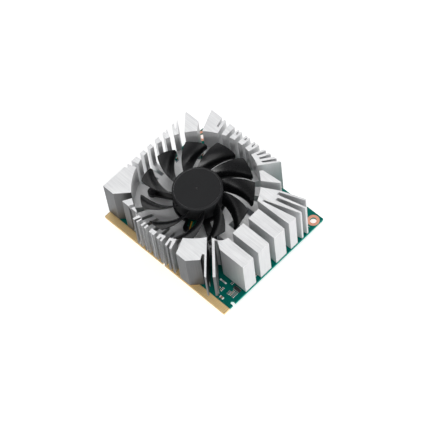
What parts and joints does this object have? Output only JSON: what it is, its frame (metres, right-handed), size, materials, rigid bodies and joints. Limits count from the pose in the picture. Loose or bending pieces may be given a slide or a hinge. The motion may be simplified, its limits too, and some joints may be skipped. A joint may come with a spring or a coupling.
{
  "type": "accelerator module",
  "caption": "Edge card with a processor under a slotted aluminium heat sink and a slim open fan sunk into its middle.",
  "frame": {"origin": "centre of the footprint, on the plane that the backplate rests on", "axes": "+X along the card's contact edge, +Y from the contact edge to the mounting holes, +Z out of the heat sink's top"},
  "size_m": [0.082, 0.07, 0.0266],
  "materials": {
    "solder_mask": "green solder resist, semi-gloss",
    "gold_plating": "gold plated copper",
    "copper_ring": "bare copper, satin",
    "plate_steel": "stamped steel, satin",
    "film_black": "insulating film, matt",
    "screw_steel": "zinc plated steel",
    "laminate_green": "package laminate",
    "stiffener_steel": "nickel plated steel",
    "silicon": "polished silicon",
    "paste_grey": "thermal paste",
    "pad_grey": "soft thermal pad",
    "chip_black": "moulded chip body",
    "inductor_grey": "pressed iron powder",
    "crystal_can": "metal lid on ceramic",
    "resistor_black": "glazed ceramic with tinned ends",
    "capacitor_tan": "ceramic with tinned ends",
    "sink_aluminium": "extruded and milled, brushed along the card's length",
    "fan_black": "fine-grained moulded plastic",
    "tube_brass": "turned brass",
    "bearing_bronze": "sintered bronze",
    "lamination_steel": "stacked laminations",
    "winding_copper": "enamelled copper wire",
    "driver_green": "green solder resist",
    "magnet_grey": "bonded ferrite",
    "shaft_steel": "ground steel",
    "clip_white": "nylon",
    "lead_yellow": "insulated wire",
    "lead_green": "insulated wire",
    "lead_black": "insulated wire",
    "header_white": "natural nylon"
  },
  "bodies": {
    "card": {"circuit_board": "solder_mask", "edge_contacts_top": "gold_plating", "edge_contacts_bottom": "gold_plating", "hole_rings": "copper_ring", "backplate": "plate_steel", "backplate_film": "film_black", "sink_screws": "screw_steel", "processor_substrate": "laminate_green", "processor_stiffener": "stiffener_steel", "processor_die": "silicon", "thermal_paste": "paste_grey", "memory_chips": "chip_black", "memory_pads": "pad_grey", "power_stages": "chip_black", "inductors": "inductor_grey", "controller_chip": "chip_black", "flash_chip": "chip_black", "crystal": "crystal_can", "chip_resistors": "resistor_black", "chip_capacitors": "capacitor_tan", "bank_capacitors": "capacitor_tan", "underside_capacitors": "capacitor_tan", "heat_sink": "sink_aluminium", "fan_frame": "fan_black", "fan_screws": "screw_steel", "bearing_tube": "tube_brass", "sleeve_bearing": "bearing_bronze", "stator_core": "lamination_steel", "stator_coils": "winding_copper", "driver_board": "driver_green", "driver_supports": "film_black", "fan_header": "header_white", "fan_lead_1": "lead_black", "fan_lead_2": "lead_yellow", "fan_lead_3": "lead_green"},
    "rotor": {"fan_rotor": "fan_black", "rotor_yoke": "stiffener_steel", "rotor_magnet": "magnet_grey", "rotor_shaft": "shaft_steel", "retaining_clip": "clip_white"}
  },
  "joints": [
    {"name": "fan_spin", "type": "hinge", "parent": "card", "child": "rotor", "pos_m": [-0.0066, -0.0018, 0.02], "axis": [0, 0, 1], "continuous": true}
  ]
}
